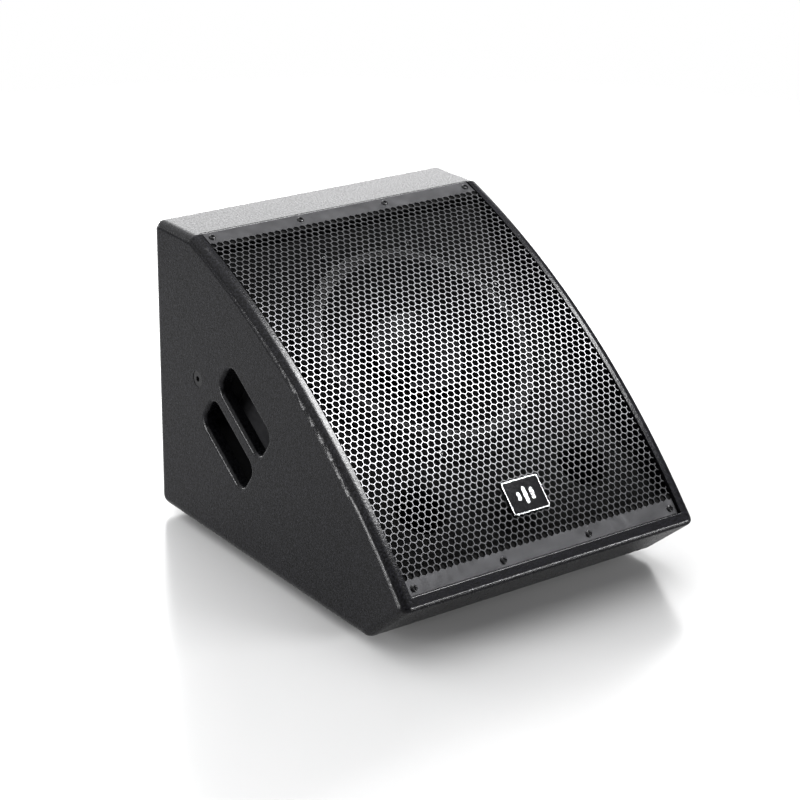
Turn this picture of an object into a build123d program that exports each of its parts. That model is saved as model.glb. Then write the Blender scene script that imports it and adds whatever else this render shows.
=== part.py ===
from build123d import *
from math import acos, atan2, cos, radians, sin, sqrt
import os

# A floor monitor wedge: a plywood cabinet with a curved perforated front, a 12 inch coaxial driver behind it
# and an amplifier module in its back. Millimetres, +Z up, the grille faces -Y and up. The origin is on the
# floor, under the middle of the whole monitor.

# ---------------------------------------------------------------------------- cabinet
WIDTH = 400.0
DEPTH = 490.9
BODY_HEIGHT = 351.0
PLY = 15.0                    # panel thickness
BAFFLE_THICKNESS = 18.0
TOE_FROM_BACK = 423.1         # from the back to the front end of the flat underside
TOE_ANGLE = radians(39.84)    # rise of the undercut face above the floor
CORNER_ROUND = 12.0           # long corners behind and below, across the cabinet
FRONT_ROUND = 5.0             # long corners at the two ends of the curved front
SIDE_ROUND = 10.0             # outline of each side
TOP_DEPTH = 78.9              # from the back to the front edge of the top panel
FOOT_HEIGHT = 10.0

# The grille is part of a cylinder whose axis lies behind and below the cabinet. The sides' lips are a little
# flatter: they stand above the grille at its low end and are almost flush with it from the middle up.
GRILLE_RADIUS = 946.0
AXIS_BEHIND_BACK = 248.0
AXIS_BELOW_UNDERSIDE = 536.8
LIP_RADIUS = 1000.0
LIP_LOW = 4.0
LIP_HIGH = 0.6
GRILLE_SHEET = 1.6
GRILLE_SIDE_GAP = 1.4
GRILLE_END_GAP = 0.8
BAFFLE_DROP = 6.0             # the baffle's face, below a straight line between the grille's ends

BACK_Y = DEPTH / 2
INNER_HALF = WIDTH / 2 - PLY
UNDERSIDE_Z = FOOT_HEIGHT
TOP_Z = FOOT_HEIGHT + BODY_HEIGHT
TOE_Y = BACK_Y - TOE_FROM_BACK
AXIS_Y = BACK_Y + AXIS_BEHIND_BACK
AXIS_Z = UNDERSIDE_Z - AXIS_BELOW_UNDERSIDE
GRILLE_INNER = GRILLE_RADIUS - GRILLE_SHEET
GRILLE_HALF = INNER_HALF - GRILLE_SIDE_GAP

# ---------------------------------------------------------------------------- grille fixings and badge
SCREW_SPACING = 117.0
SCREWS_ACROSS = 4
SCREW_FROM_TOP_END = 8.9
SCREW_FROM_LOW_END = 7.5
BADGE_FROM_LOW_END = 68.0
BADGE_WIDE = 49.0
BADGE_HIGH = 39.0
BADGE_THICK = 2.5
CLEAT_DEEP = 26.0
LIP_EASE = 1.5
TOP_EDGE_EASE = 2.0

# ---------------------------------------------------------------------------- left side handle
SLOT_LONG = 100.0
SLOT_HIGH = 43.0
SLOT_CORNER = 13.0
SLOT_ROUND = 5.0
SLOT_SPACING = 63.0
HANDLE_ALONG = 56.1           # from the middle of the baffle, along it
HANDLE_BEHIND = 110.0         # behind the grille's chord
POCKET_DEPTH = 40.0
POCKET_WALL = 4.0
POCKET_MARGIN = 8.0

# ---------------------------------------------------------------------------- side fittings
RIGGING_FROM_BACK = 90.4
RIGGING_HEIGHT = 185.2        # above the underside
RIGGING_HEAD = 9.5
RIGGING_SHANK = 4.9
INSERT_BARREL = 6.5
INSERT_FLANGE = 2.0
POLE_FROM_BACK = 175.0
POLE_HEIGHT = 138.0           # above the underside
POLE_BORE = 18.0
POLE_DEPTH = 70.0
POLE_WALL = 2.5
EYELET_FROM_TOP = 33.0
EYELET_THREAD = 5.0

# ---------------------------------------------------------------------------- driver, about its own axis
DRIVER_ALONG = 42.0           # from the middle of the baffle, towards the top
FRAME_RADIUS = 155.0
CUTOUT_RADIUS = 141.0
BOLT_RADIUS = 148.5
DRIVER_BOLTS = 8
ROLL_RADIUS = 126.0
ROLL_HALF = 8.0
CONE_RIM = 118.0
CONE_RIM_Z = 5.0
CONE_NECK_Z = -38.0
COIL_RADIUS = 38.0
COIL_WALL = 0.6
SEAT_Z = -60.0
MAGNET_RADIUS = 85.0
HORN_MOUTH = 54.0
HORN_MOUTH_Z = -6.0
HORN_WAIST_Z = -30.0          # clear of the coil at the end of its stroke
HORN_THROAT = 12.5
HORN_WALL = 2.0
FLANGE_TOP = 5.0
SPIDER_Z = -48.0
ARMS = 8
CAST_WALL = 3.0
WINDOW_SIZE = (70.0, 52.0, 44.0)
ROLL_WALL = 1.2

# ---------------------------------------------------------------------------- ports
PORT_ACROSS = 112.0
PORT_ALONG = -150.0
PORT_BORE = 28.0
PORT_WALL = 2.5
PORT_LENGTH = 84.0
PORT_FLANGE = 37.0
PORT_FLARE = 6.0

# ---------------------------------------------------------------------------- amplifier module in the back
AMP_WIDE = 268.0
AMP_HIGH = 238.0
AMP_PLATE = 3.0
AMP_RECESS = 12.0
AMP_GAP = 1.0
AMP_HEIGHT = 170.0            # middle of the plate above the underside
AMP_BATTEN = 18.0
AMP_LAP = 12.0                # how far the battens reach in behind the plate's edge
KNOB_SPOTS = ((-104, 34), (-68, 34), (-32, 34))
XLR_IN_SPOT = (-100, 84)
XLR_OUT_SPOT = (-60, 84)
BUTTON_SPOT = (-26, 92)
GAIN_SPOT = (-26, 72)
INLET_SPOT = (-84, -72)
ROCKER_SPOT = (-34, -72)
FUSE_SPOT = (2, -72)
LED_SPOTS = ((-104, -10), (-92, -10), (-80, -10))
SINK_SPOT = (70, 20)
SINK_WIDE = 104.0
SINK_HIGH = 176.0
SINK_FINS = 14
KNOB_RADIUS = 8.0
FLUTES = 12
SHAFT_RADIUS = 3.0
POT_DEEP = 12.0
RUNNING_GAP = 0.05
BUTTON_RADIUS = 3.4
GAIN_SLOT_WIDE = 9.0
GAIN_SLOT_HIGH = 3.4
GAIN_TRAVEL = 4.4
LED_RADIUS = 1.5
LATCH_UP = 12.0
LATCH_WIDE = 7.0
LATCH_HIGH = 4.0
INLET_BODY = (47.0, 27.0)
ROCKER_BODY = (15.0, 22.0)
ROCKER_TILT = 8.0
ROCKER_PIN = 1.2
FUSE_BODY = (16.0, 13.0)
BOARD_SIZE = (150.0, 130.0)
BOARD_SPOT = (30.0, 2.0)
BOARD_Z = -34.0
TRANSFORMER_X = 70.0
TRANSFORMER_BACK = 80.0

LINING = 20.0

# ---------------------------------------------------------------------------- feet
FOOT_RADIUS = 19.0
FOOT_ACROSS = 158.0
FOOT_BACK = 42.0
FOOT_FRONT = 372.0

parts = {}


def arc_point(radius, angle):
    """Point (y, z) on a circle about the front's axis; the angle rises from straight forward."""
    return (AXIS_Y - radius * cos(angle), AXIS_Z + radius * sin(angle))


def toe_line(inset, along):
    """Point (y, z) on the undercut face, moved inset into the cabinet, along mm up from its foot."""
    y = TOE_Y + inset * sin(TOE_ANGLE) - along * cos(TOE_ANGLE)
    z = UNDERSIDE_Z + inset * cos(TOE_ANGLE) + along * sin(TOE_ANGLE)
    return (y, z)


def toe_corner():
    """Where the inner faces of the bottom panel and the undercut board meet."""
    return toe_line(PLY, PLY * (1 - cos(TOE_ANGLE)) / sin(TOE_ANGLE))


def toe_on_circle(inset, centre, radius):
    """Where the undercut face, moved inset inwards, meets a circle in the side view."""
    y, z = toe_line(inset, 0)
    behind = centre[0] - y
    above = z - centre[1]
    half_b = behind * cos(TOE_ANGLE) + above * sin(TOE_ANGLE)
    rest = behind ** 2 + above ** 2 - radius ** 2
    return toe_line(inset, sqrt(half_b ** 2 - rest) - half_b)


def circle_centre(low, high, radius):
    """Centre of a circle through two points (y, z) that bulges forwards and up between them."""
    along = (high[0] - low[0], high[1] - low[1])
    length = sqrt(along[0] ** 2 + along[1] ** 2)
    depth = sqrt(radius ** 2 - length ** 2 / 4) / length
    return ((low[0] + high[0]) / 2 + along[1] * depth, (low[1] + high[1]) / 2 - along[0] * depth)


def angle_at(point):
    """Angle of a point (y, z) about the front's axis."""
    return atan2(point[1] - AXIS_Z, AXIS_Y - point[0])


def side_face(*lines):
    """A face in the side view, from lines drawn in (y, z)."""
    drawing = lines[0]
    for line in lines[1:]:
        drawing += line
    return make_face(Plane.YZ * drawing)


def across(face, half_width):
    return extrude(face, amount=half_width, both=True)


def polygon(*points):
    return side_face(Polyline(*points, close=True))


def slab(y_low, y_high, z_low, z_high, half_width=INNER_HALF):
    """A block across the cabinet."""
    size = (2 * half_width, y_high - y_low, z_high - z_low)
    return Pos(0, (y_low + y_high) / 2, (z_low + z_high) / 2) * Box(*size)


def front_band(inner_radius, outer_radius, low_angle, high_angle):
    """A face between two arcs about the front's axis."""
    middle = (low_angle + high_angle) / 2
    corners = [arc_point(r, a) for r in (inner_radius, outer_radius) for a in (low_angle, high_angle)]
    inner = ThreePointArc(corners[0], arc_point(inner_radius, middle), corners[1])
    outer = ThreePointArc(corners[2], arc_point(outer_radius, middle), corners[3])
    return side_face(inner, Line(corners[1], corners[3]), outer, Line(corners[0], corners[2]))


def turned(*points):
    """A solid turned about its own Z, from (radius, height) corners."""
    return revolve(make_face(Plane.XZ * Polyline(*points, close=True)), Axis.Z)


def tube(outer, inner, low, high):
    return turned((inner, low), (outer, low), (outer, high), (inner, high))


def rod(radius, low, high):
    return Pos(0, 0, (low + high) / 2) * Cylinder(radius, high - low)


def plate(wide, high, corner, low, top):
    """A flat plate with rounded corners, between two heights."""
    return Pos(0, 0, low) * extrude(RectangleRounded(wide, high, corner), amount=top - low)


def block(wide, high, low, top):
    return Pos(0, 0, (low + top) / 2) * Box(wide, high, top - low)


def all_of(shapes):
    return Compound(children=[solid for shape in shapes for solid in shape.solids()])


# ---------------------------------------------------------------------------- places on the front
GRILLE_LOW = angle_at(toe_on_circle(PLY + GRILLE_END_GAP, (AXIS_Y, AXIS_Z), GRILLE_RADIUS))
GRILLE_HIGH = acos((AXIS_Y - BACK_Y + TOP_DEPTH + GRILLE_END_GAP) / GRILLE_RADIUS)
LOW_END = arc_point(GRILLE_RADIUS, GRILLE_LOW)
HIGH_END = arc_point(GRILLE_RADIUS, GRILLE_HIGH)
CHORD_ANGLE = atan2(HIGH_END[1] - LOW_END[1], HIGH_END[0] - LOW_END[0])
CHORD_MIDDLE = ((LOW_END[0] + HIGH_END[0]) / 2, (LOW_END[1] + HIGH_END[1]) / 2)

LIP_AXIS = circle_centre(
    arc_point(GRILLE_RADIUS + LIP_LOW, GRILLE_LOW),
    arc_point(GRILLE_RADIUS + LIP_HIGH, GRILLE_HIGH),
    LIP_RADIUS,
)
TIP = toe_on_circle(0, LIP_AXIS, LIP_RADIUS)
TOP_FRONT = (LIP_AXIS[0] - sqrt(LIP_RADIUS ** 2 - (TOP_Z - LIP_AXIS[1]) ** 2), TOP_Z)

CHORD = Plane(
    origin=(0, CHORD_MIDDLE[0], CHORD_MIDDLE[1]),
    x_dir=(1, 0, 0),
    z_dir=(0, -sin(CHORD_ANGLE), cos(CHORD_ANGLE)),
)
BAFFLE = CHORD * Pos(0, 0, -BAFFLE_DROP)
DRIVER = BAFFLE * Pos(0, DRIVER_ALONG, 0)
AMP = Plane(
    origin=(0, BACK_Y - AMP_RECESS, UNDERSIDE_Z + AMP_HEIGHT),
    x_dir=(-1, 0, 0),
    z_dir=(0, 1, 0),
)


def on_grille(x, angle):
    """A frame on the grille's face, its Z pointing straight out."""
    y, z = arc_point(GRILLE_RADIUS, angle)
    return Plane(origin=(x, y, z), x_dir=(1, 0, 0), z_dir=(0, -cos(angle), sin(angle)))


def on_amp(spot, height=0):
    """A frame on the amplifier plate: x to the right and y up as seen from behind, z outwards."""
    return AMP * Pos(spot[0], spot[1], height)


def on_left_side(along, away):
    """A frame on the left side's outer face, its X along the baffle and its Z straight out."""
    spot = (CHORD * Pos(-WIDTH / 2, along, away)).position
    return Plane(origin=spot, x_dir=(0, cos(CHORD_ANGLE), sin(CHORD_ANGLE)), z_dir=(-1, 0, 0))


def on_side(sign, from_back, height):
    """A frame on a side's outer face, its Z pointing straight out."""
    origin = (sign * WIDTH / 2, BACK_Y - from_back, UNDERSIDE_Z + height)
    return Plane(origin=origin, z_dir=(sign, 0, 0))


# ---------------------------------------------------------------------------- cabinet panels
def cabinet_block(half_width):
    """The outside of the cabinet, with its long corners rounded."""
    outline = side_face(
        Polyline(TOP_FRONT, (BACK_Y, TOP_Z), (BACK_Y, UNDERSIDE_Z), (TOE_Y, UNDERSIDE_Z), TIP),
        RadiusArc(TIP, TOP_FRONT, LIP_RADIUS),
    )
    solid = across(outline, half_width)
    solid = fillet(long_edges(solid, TIP, TOP_FRONT), FRONT_ROUND)
    behind = long_edges(solid, (BACK_Y, TOP_Z), (BACK_Y, UNDERSIDE_Z), (TOE_Y, UNDERSIDE_Z))
    return fillet(behind, CORNER_ROUND)


def long_edges(solid, *corners):
    """The edges across the cabinet that stand on the given corners (y, z)."""
    found = []
    for edge in solid.edges().filter_by(Axis.X):
        middle = edge.center()
        if any(abs(middle.Y - y) + abs(middle.Z - z) < 1.0 for y, z in corners):
            found.append(edge)
    return found


def rigging_screw(sign):
    """Countersunk hexagon socket screw that plugs a rigging point."""
    head = turned((0, -5.5), (RIGGING_SHANK, -5.5), (RIGGING_HEAD, -1.0), (RIGGING_HEAD, -0.4), (0, -0.4))
    shank = rod(RIGGING_SHANK, -30.0, -5.5)
    socket = extrude(RegularPolygon(3.4, 6), amount=4.0)
    return on_side(sign, RIGGING_FROM_BACK, RIGGING_HEIGHT) * (head + shank - Pos(0, 0, -4.2) * socket)


def rigging_insert(sign):
    """Flanged threaded insert, pulled up against the inside of the side panel."""
    flange = tube(2 * INSERT_BARREL, RIGGING_SHANK, -PLY - INSERT_FLANGE, -PLY)
    barrel = tube(INSERT_BARREL, RIGGING_SHANK, -PLY, -6.0)
    tail = tube(INSERT_BARREL, RIGGING_SHANK, -PLY - 14.0, -PLY - INSERT_FLANGE)
    return on_side(sign, RIGGING_FROM_BACK, RIGGING_HEIGHT) * (flange + barrel + tail)


def rigging_cutter(sign):
    hole = turned(
        (0, -2 * PLY),
        (INSERT_BARREL, -2 * PLY),
        (INSERT_BARREL, -6.0),
        (RIGGING_HEAD, -2.9),
        (RIGGING_HEAD, 1.0),
        (0, 1.0),
    )
    return on_side(sign, RIGGING_FROM_BACK, RIGGING_HEIGHT) * hole


def pole_socket():
    """Steel cup for a speaker pole, flanged against the inside of the right side."""
    outer = POLE_BORE + POLE_WALL
    sleeve = tube(outer, POLE_BORE, -POLE_DEPTH, -0.5)
    flange = tube(outer + 20.0, outer - 0.5, -PLY - 3.0, -PLY)
    floor = rod(outer, -POLE_DEPTH - POLE_WALL, -POLE_DEPTH)
    return on_side(1, POLE_FROM_BACK, POLE_HEIGHT) * (sleeve + flange + floor)


def slot_cutter(row):
    """One slot of the handle; row is -1 for the lower and 1 for the upper."""
    shape = extrude(RectangleRounded(SLOT_LONG, SLOT_HIGH, SLOT_CORNER), amount=2 * PLY, both=True)
    return on_left_side(HANDLE_ALONG, -HANDLE_BEHIND + row * SLOT_SPACING / 2) * shape


def side_board(sign):
    """One side: the full outline, rounded round its outer face."""
    whole = cabinet_block(WIDTH / 2)
    outer_face = whole.faces().sort_by(Axis.X)[0 if sign < 0 else -1]
    whole = fillet(outer_face.edges(), SIDE_ROUND)
    middle = sign * (WIDTH - PLY) / 2
    return whole & Pos(middle, 0, TOP_Z / 2) * Box(PLY, 2 * DEPTH, 2 * TOP_Z)


def left_side_panel():
    board = side_board(-1) - slot_cutter(-1) - slot_cutter(1)
    outer_face = board.faces().sort_by(Axis.X)[0]
    slot_edges = [edge for wire in outer_face.inner_wires() for edge in wire.edges()]
    board = fillet(slot_edges, SLOT_ROUND)
    return board - rigging_cutter(-1)


def right_side_panel():
    hole = rod(POLE_BORE + POLE_WALL, -2 * PLY, PLY)
    return side_board(1) - rigging_cutter(1) - on_side(1, POLE_FROM_BACK, POLE_HEIGHT) * hole


def handle_pocket():
    """Open box behind the two slots, glued to the inside of the left side."""
    long = SLOT_LONG + 2 * POCKET_MARGIN
    high = SLOT_SPACING + SLOT_HIGH + 2 * POCKET_MARGIN
    outer = plate(long + 2 * POCKET_WALL, high + 2 * POCKET_WALL, SLOT_CORNER, -PLY - POCKET_DEPTH, -PLY)
    inner = plate(long, high, SLOT_CORNER - POCKET_WALL, -PLY - POCKET_DEPTH + POCKET_WALL, -PLY)
    return on_left_side(HANDLE_ALONG, -HANDLE_BEHIND) * (outer - inner)


def top_panel(core):
    panel = core & slab(BACK_Y - TOP_DEPTH, BACK_Y, TOP_Z - PLY, TOP_Z)
    front_edge = panel.edges().filter_by(Axis.X).sort_by(lambda edge: edge.center().Y - edge.center().Z)[0]
    return fillet(front_edge, TOP_EDGE_EASE)


def rear_panel(core):
    panel = core & slab(BACK_Y - PLY, BACK_Y, UNDERSIDE_Z + PLY, TOP_Z - PLY)
    opening = plate(AMP_WIDE + 2 * AMP_GAP, AMP_HIGH + 2 * AMP_GAP, 5.0, -2 * PLY, 2 * PLY)
    return panel - AMP * opening - on_eyelet() * rod(INSERT_BARREL, -2 * PLY, PLY)


def on_eyelet():
    """A frame on the back's outer face, above the amplifier, where a safety cable's eyelet screws in."""
    return Plane(origin=(0, BACK_Y, TOP_Z - EYELET_FROM_TOP), x_dir=(-1, 0, 0), z_dir=(0, 1, 0))


def eyelet_insert():
    """Flanged threaded insert for the eyelet, left open."""
    barrel = tube(INSERT_BARREL, EYELET_THREAD, -PLY, -0.5)
    flange = tube(11.0, EYELET_THREAD, -PLY - INSERT_FLANGE, -PLY)
    return on_eyelet() * (barrel + flange)


def bottom_panel(core):
    outline = polygon(
        (TOE_Y, UNDERSIDE_Z),
        toe_corner(),
        (BACK_Y, UNDERSIDE_Z + PLY),
        (BACK_Y, UNDERSIDE_Z),
    )
    return core & across(outline, INNER_HALF)


def toe_panel(core):
    """The undercut board; its upper edge shows as the band below the grille."""
    reach = 8 * PLY
    outline = polygon((TOE_Y, UNDERSIDE_Z), toe_corner(), toe_line(PLY, reach), toe_line(0, reach))
    panel = core & across(outline, INNER_HALF)
    upper_edge = panel.edges().filter_by(Axis.X).sort_by(Axis.Z)[-1]
    return fillet(upper_edge, LIP_EASE)


def cavity():
    """The space between the panels, open towards the grille."""
    outline = polygon(
        toe_corner(),
        (BACK_Y - PLY, UNDERSIDE_Z + PLY),
        (BACK_Y - PLY, TOP_Z - PLY),
        (BACK_Y - 2 * DEPTH, TOP_Z - PLY),
        toe_line(PLY, DEPTH),
    )
    return across(outline, INNER_HALF)


def baffle():
    """The flat board that carries the driver and the ports."""
    board = BAFFLE * Pos(0, 0, -BAFFLE_THICKNESS / 2) * Box(2 * INNER_HALF, 2 * DEPTH, BAFFLE_THICKNESS)
    board = board & cavity()
    board -= DRIVER * rod(CUTOUT_RADIUS, -2 * BAFFLE_THICKNESS, BAFFLE_THICKNESS)
    for side in (-1, 1):
        board -= on_port(side) * rod(PORT_BORE + PORT_WALL, -2 * BAFFLE_THICKNESS, BAFFLE_THICKNESS)
        board -= on_port(side) * rod(PORT_FLANGE, -PORT_WALL, BAFFLE_THICKNESS)
    for bolt in driver_bolts():
        board -= bolt
    return board


def cleats():
    """Battens on the baffle's face that take the grille's screws, top and bottom."""
    gap = cavity_to_front() - CHORD * Pos(0, 0, -BAFFLE_DROP - DEPTH / 2) * Box(WIDTH, 2 * DEPTH, DEPTH)
    half_chord = GRILLE_RADIUS * sin((GRILLE_HIGH - GRILLE_LOW) / 2)
    ends = []
    for sign in (-1, 1):
        keep = CHORD * Pos(0, sign * half_chord, 0) * Box(2 * INNER_HALF, 2 * CLEAT_DEEP, DEPTH)
        ends.append(gap & keep)
    return ends


def cavity_to_front():
    """The space under the grille's sheet, between the top panel's front edge and the undercut board."""
    outline = polygon(toe_corner(), (BACK_Y - TOP_DEPTH, UNDERSIDE_Z + PLY), (BACK_Y - TOP_DEPTH, TOP_Z),
                      (BACK_Y - 2 * DEPTH, TOP_Z), toe_line(PLY, DEPTH))
    under_sheet = Pos(0, AXIS_Y, AXIS_Z) * Rot(0, 90, 0) * Cylinder(GRILLE_INNER, 2 * INNER_HALF)
    return across(outline, INNER_HALF) & under_sheet


# ---------------------------------------------------------------------------- grille
def grille_screw_places():
    low = GRILLE_LOW + SCREW_FROM_LOW_END / GRILLE_RADIUS
    high = GRILLE_HIGH - SCREW_FROM_TOP_END / GRILLE_RADIUS
    first = -SCREW_SPACING * (SCREWS_ACROSS - 1) / 2
    row = [first + i * SCREW_SPACING for i in range(SCREWS_ACROSS)]
    return [on_grille(x, angle) for angle in (low, high) for x in row]


def cross_screw(head_radius, head_height, shank_radius, shank_length):
    """Pan head screw with a cross recess; its head sits on z = 0."""
    dome = turned((0, 0), (head_radius, 0), (head_radius * 0.92, head_height * 0.6),
                  (head_radius * 0.6, head_height), (0, head_height))
    cross = block(head_radius * 1.2, head_radius * 0.26, head_height * 0.4, head_height * 1.1)
    shank = rod(shank_radius, -shank_length, 0)
    return dome + shank - cross - Rot(0, 0, 90) * cross


def grille_screws():
    return [place * cross_screw(4.0, 2.1, 1.7, 6.5) for place in grille_screw_places()]


def grille():
    """The curved sheet; its holes are told of in the record."""
    sheet = across(front_band(GRILLE_INNER, GRILLE_RADIUS, GRILLE_LOW, GRILLE_HIGH), GRILLE_HALF)
    for place in grille_screw_places():
        sheet -= place * rod(1.7, -2 * GRILLE_SHEET, GRILLE_SHEET)
    return sheet


def badge_place():
    return on_grille(0, GRILLE_LOW + BADGE_FROM_LOW_END / GRILLE_RADIUS)


def badge_plate():
    return badge_place() * plate(BADGE_WIDE, BADGE_HIGH, 3.0, 0, BADGE_THICK)


def badge_trim():
    """Raised border and three plain bars, a generic mark."""
    border = plate(BADGE_WIDE, BADGE_HIGH, 3.0, BADGE_THICK, BADGE_THICK + 0.5)
    border -= plate(BADGE_WIDE - 3.0, BADGE_HIGH - 3.0, 1.8, 0, 2 * BADGE_THICK)
    bars = []
    for step, high in ((-1, 10.0), (0, 20.0), (1, 14.0)):
        bars.append(Pos(step * 9.0, 0, 0) * plate(5.0, high, 2.4, BADGE_THICK, BADGE_THICK + 0.5))
    return badge_place() * all_of([border] + bars)


# ---------------------------------------------------------------------------- ports
def on_port(side):
    return BAFFLE * Pos(side * PORT_ACROSS, PORT_ALONG, 0)


def port_tube(side):
    """Flanged tube; its flange is let into the baffle's face."""
    outer = PORT_BORE + PORT_WALL
    flare = turned(
        (PORT_BORE, -PORT_LENGTH),
        (outer, -PORT_LENGTH),
        (outer, -PORT_WALL),
        (PORT_FLANGE, -PORT_WALL),
        (PORT_FLANGE, 0),
        (PORT_BORE + PORT_FLARE, 0),
        (PORT_BORE + PORT_FLARE / 3, -PORT_FLARE / 3),
        (PORT_BORE, -PORT_FLARE),
    )
    return on_port(side) * flare


# ---------------------------------------------------------------------------- driver
def driver_bolts():
    bolts = []
    for i in range(DRIVER_BOLTS):
        turn = Rot(0, 0, (i + 0.5) * 360 / DRIVER_BOLTS)
        bolts.append(DRIVER * turn * Pos(BOLT_RADIUS, 0, FLANGE_TOP) * cross_screw(4.4, 3.0, 2.4, 21.0))
    return bolts


def basket():
    """Cast frame: flange, eight arms and the seat for the magnet."""
    flange_in = ROLL_RADIUS + ROLL_HALF
    seat_out = MAGNET_RADIUS + CAST_WALL
    seat_in = COIL_RADIUS + 14.0
    seat_top = SEAT_Z + 2 * CAST_WALL
    flange = tube(FRAME_RADIUS, flange_in, 0, FLANGE_TOP)
    bowl = turned(
        (flange_in, 0),
        (CUTOUT_RADIUS - 1.0, 0),
        (CUTOUT_RADIUS - 2.0, -14.0),
        (seat_out, seat_top),
        (seat_out, SEAT_Z - 4.0),
        (seat_in, SEAT_Z - 4.0),
        (seat_in, SEAT_Z),
        (seat_out - 5.0, SEAT_Z),
        (seat_out - 5.0, seat_top),
        (flange_in, -12.0),
    )
    shell = flange + bowl
    between_rings = tube(FRAME_RADIUS, seat_in, seat_top + 1.0, -15.0)
    window = Pos(FRAME_RADIUS * 0.72, 0, SEAT_Z / 2) * Rot(0, -34, 0) * Box(*WINDOW_SIZE)
    for i in range(ARMS):
        shell -= (Rot(0, 0, i * 360 / ARMS) * window) & between_rings
    for i in range(DRIVER_BOLTS):
        turn = Rot(0, 0, (i + 0.5) * 360 / DRIVER_BOLTS)
        shell -= turn * Pos(BOLT_RADIUS, 0, 0) * rod(2.4, -FLANGE_TOP, 2 * FLANGE_TOP)
    return DRIVER * shell


def gasket():
    """Ring that clamps the roll's outer edge to the flange."""
    inner = ROLL_RADIUS + ROLL_HALF + 0.2
    return DRIVER * tube(CUTOUT_RADIUS + 2.0, inner, FLANGE_TOP, FLANGE_TOP + 3.0)


def roll():
    """The half roll round the cone."""
    middle = (ROLL_RADIUS, CONE_RIM_Z)
    outer = CenterArc(center=middle, radius=ROLL_HALF, start_angle=0, arc_size=180)
    inner = CenterArc(center=middle, radius=ROLL_HALF - ROLL_WALL, start_angle=0, arc_size=180)
    feet = [Line(outer @ end, inner @ end) for end in (0, 1)]
    return DRIVER * revolve(make_face(Plane.XZ * (outer + inner + feet[0] + feet[1])), Axis.Z)


def cone():
    """The paper cone, as one shell from its rim to the coil."""
    rim = CONE_RIM - 0.1
    neck = COIL_RADIUS + COIL_WALL
    return DRIVER * turned(
        (rim, CONE_RIM_Z),
        (rim - 3.0, CONE_RIM_Z),
        (neck, CONE_NECK_Z + 1.2),
        (neck, CONE_NECK_Z - 0.8),
        (rim, CONE_RIM_Z - 2.0),
    )


def voice_coil():
    """Coil former with its winding in the magnet's gap."""
    former = tube(COIL_RADIUS + COIL_WALL, COIL_RADIUS, SEAT_Z - 16.0, CONE_NECK_Z + 1.2)
    winding = tube(COIL_RADIUS + 1.3, COIL_RADIUS + COIL_WALL, SEAT_Z - 13.0, SEAT_Z - 3.0)
    return DRIVER * (former + winding)


def spider():
    """Corrugated centring disc between the coil and the basket."""
    outer = MAGNET_RADIUS - 3.0
    inner = COIL_RADIUS + COIL_WALL
    waves = 5
    wave = (outer - inner) / waves
    top = [(inner, SPIDER_Z)]
    for i in range(waves):
        top.append((inner + (i + 0.25) * wave, SPIDER_Z + 1.6))
        top.append((inner + (i + 0.75) * wave, SPIDER_Z - 1.6))
    top.append((outer, SPIDER_Z))
    under = [(r, z - 0.8) for r, z in reversed(top)]
    return DRIVER * turned(*top, *under)


def top_plate():
    return DRIVER * tube(MAGNET_RADIUS - 2.0, COIL_RADIUS + 2.2, SEAT_Z - 12.0, SEAT_Z - 4.0)


def magnet():
    return DRIVER * tube(MAGNET_RADIUS, COIL_RADIUS + 12.0, SEAT_Z - 32.0, SEAT_Z - 12.0)


def back_plate():
    """Steel plate and pole, bored through for the high frequency horn."""
    disc = tube(MAGNET_RADIUS - 2.0, HORN_THROAT, SEAT_Z - 40.0, SEAT_Z - 32.0)
    pole = tube(COIL_RADIUS - 1.5, HORN_THROAT, SEAT_Z - 32.0, SEAT_Z)
    return DRIVER * (disc + pole)


def horn():
    """High frequency flare, standing on the pole inside the cone."""
    foot = COIL_RADIUS - 2 * HORN_WALL
    return DRIVER * turned(
        (HORN_THROAT, SEAT_Z),
        (foot, SEAT_Z),
        (foot, HORN_WAIST_Z),
        (HORN_MOUTH, HORN_MOUTH_Z),
        (HORN_MOUTH - HORN_WALL, HORN_MOUTH_Z + HORN_WALL / 2),
        (foot - 2 * HORN_WALL, HORN_WAIST_Z + HORN_WALL),
        (HORN_THROAT + HORN_WALL, SEAT_Z + 5 * HORN_WALL),
    )


def compression_driver():
    """High frequency driver bolted behind the magnet."""
    base = SEAT_Z - 40.0
    body = turned((0, base), (46.0, base), (46.0, base - 8.0), (40.0, base - 12.0), (40.0, base - 30.0),
                  (34.0, base - 36.0), (0, base - 36.0))
    return DRIVER * body


# ---------------------------------------------------------------------------- amplifier module
def amp_battens():
    """Four battens glued behind the opening, to take the plate's screws."""
    wide = AMP_WIDE / 2 + AMP_GAP
    high = AMP_HIGH / 2 + AMP_GAP
    reach = AMP_BATTEN
    low = -AMP_PLATE - AMP_BATTEN
    battens = []
    rail = block(2 * wide, reach, low, -AMP_PLATE)
    upright = block(reach, 2 * (high - AMP_LAP), low, -AMP_PLATE)
    for sign in (-1, 1):
        battens.append(Pos(0, sign * (high - AMP_LAP + reach / 2), 0) * rail)
        battens.append(Pos(sign * (wide - AMP_LAP + reach / 2), 0, 0) * upright)
    wood = all_of(battens)
    screws = amp_screws()
    return AMP * wood - screws


def amp_screw_spots():
    across_x = AMP_WIDE / 2 - 6.0
    up = AMP_HIGH / 2 - 6.0
    corners = [(x, y) for x in (-across_x, 0, across_x) for y in (-up, up)]
    return corners + [(-across_x, 0), (across_x, 0)]


def amp_screws():
    return [on_amp(spot) * cross_screw(3.6, 2.2, 1.7, 15.0) for spot in amp_screw_spots()]


def xlr_hole():
    latch = Pos(0, LATCH_UP, 0) * block(LATCH_WIDE + 2.8, LATCH_HIGH + 2.8, -2 * AMP_PLATE, AMP_PLATE)
    return rod(12.0, -2 * AMP_PLATE, AMP_PLATE) + latch


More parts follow.
